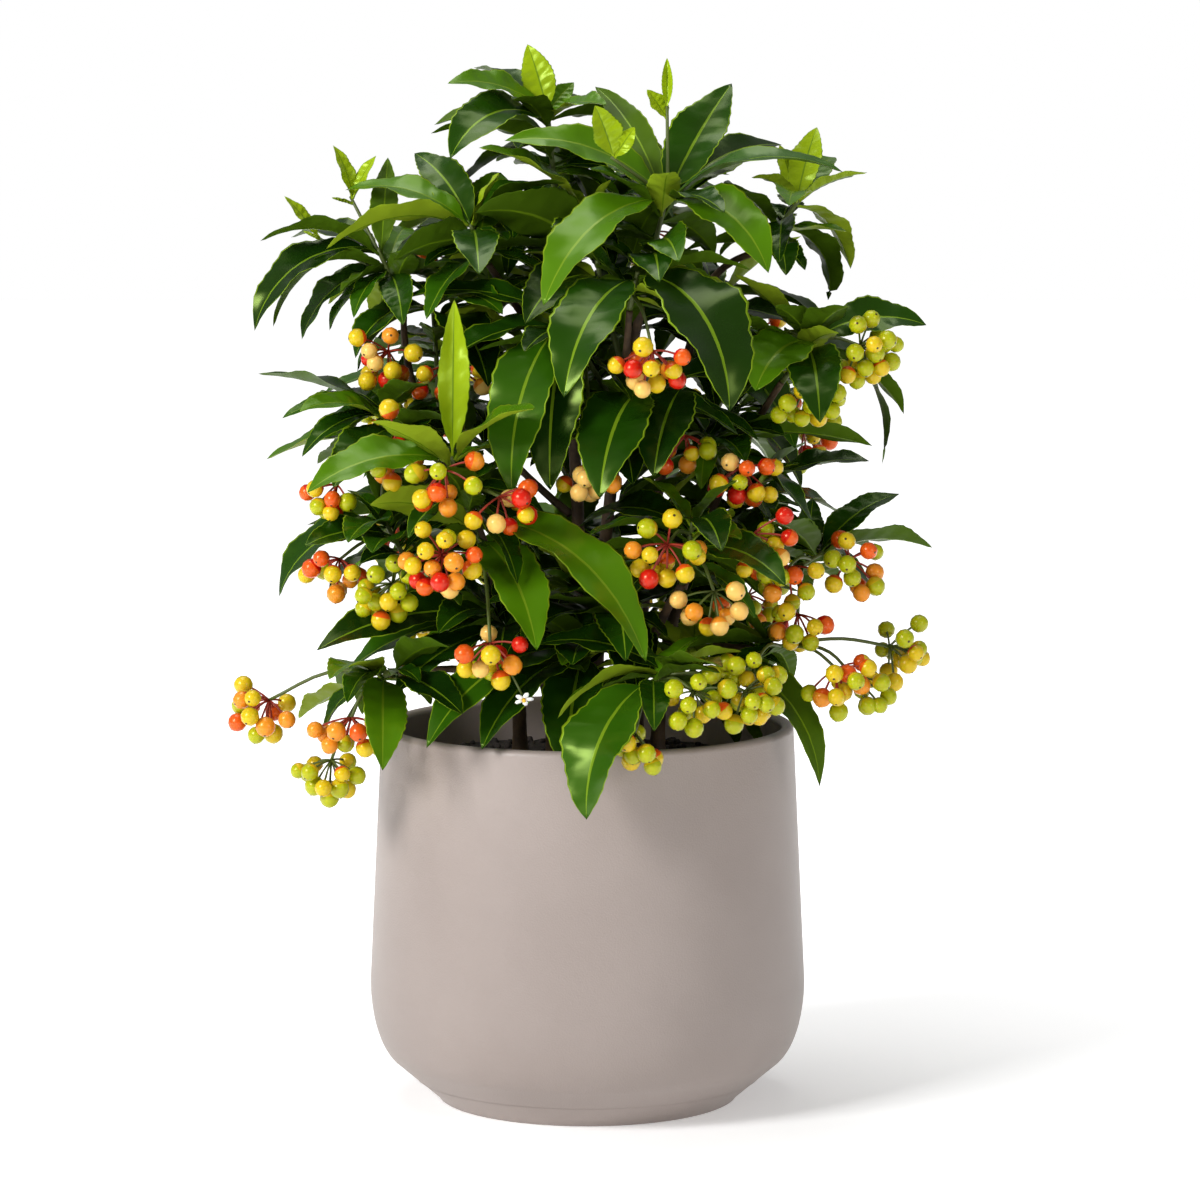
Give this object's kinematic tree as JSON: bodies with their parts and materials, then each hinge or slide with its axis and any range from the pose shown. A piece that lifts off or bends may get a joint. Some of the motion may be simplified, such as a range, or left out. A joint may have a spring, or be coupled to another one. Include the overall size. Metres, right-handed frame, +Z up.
{
  "type": "potted coral ardisia",
  "caption": "Small evergreen shrub with glossy leaves and hanging clusters of berries, growing from soil in a plain round pot.",
  "frame": {"origin": "centre of the pot's flat underside", "axes": "+Z up along the pot's axis; -Y is the side that the picture shows; +X to its right"},
  "size_m": [0.2712, 0.2418, 0.4199],
  "materials": {
    "stoneware": "satin matt warm grey stoneware",
    "potting_soil": "dark moist potting soil",
    "bark": "smooth brown bark",
    "foliage": "glossy dark green leaves with yellow-green to red berries"
  },
  "bodies": {
    "root": {"back_left_bough": "bark", "back_left_foliage": "foliage", "back_left_low_foliage": "foliage", "back_low_bough": "bark", "back_low_foliage": "foliage", "back_middle_foliage": "foliage", "back_out_bough": "bark", "back_right_foliage": "foliage", "back_right_low_foliage": "foliage", "back_right_stem": "bark", "back_stem": "bark", "back_top_bough": "bark", "back_top_foliage": "foliage", "back_upper_left_foliage": "foliage", "back_upper_right_foliage": "foliage", "bottom_front_foliage": "foliage", "bottom_left_foliage": "foliage", "front_left_foliage": "foliage", "front_left_stem": "bark", "front_low_bough": "bark", "front_right_foliage": "foliage", "front_right_stem": "bark", "front_upper_bough": "bark", "front_upper_foliage": "foliage", "hanging_left_foliage": "foliage", "hanging_right_foliage": "foliage", "left_arch_foliage": "foliage", "left_back_foliage": "foliage", "left_dark_foliage": "foliage", "left_front_bough": "bark", "left_fruit": "foliage", "left_low_bough": "bark", "left_low_foliage": "foliage", "left_mid_foliage": "foliage", "left_rim_bough": "bark", "left_stem": "bark", "left_top_bough": "bark", "middle_front_foliage": "foliage", "middle_stem": "bark", "pot": "stoneware", "right_back_foliage": "foliage", "right_fruit": "foliage", "right_inner_foliage": "foliage", "right_low_bough": "bark", "right_low_foliage": "foliage", "right_mid_bough": "bark", "right_mid_foliage": "foliage", "right_out_bough": "bark", "right_rim_foliage": "foliage", "right_stem": "bark", "right_top_bough": "bark", "right_top_foliage": "foliage", "rim_front_foliage": "foliage", "soil": "potting_soil", "top_left_foliage": "foliage", "top_middle_foliage": "foliage", "top_small_foliage": "foliage", "upper_left_bough": "bark", "upper_left_foliage": "foliage"}
  },
  "joints": []
}
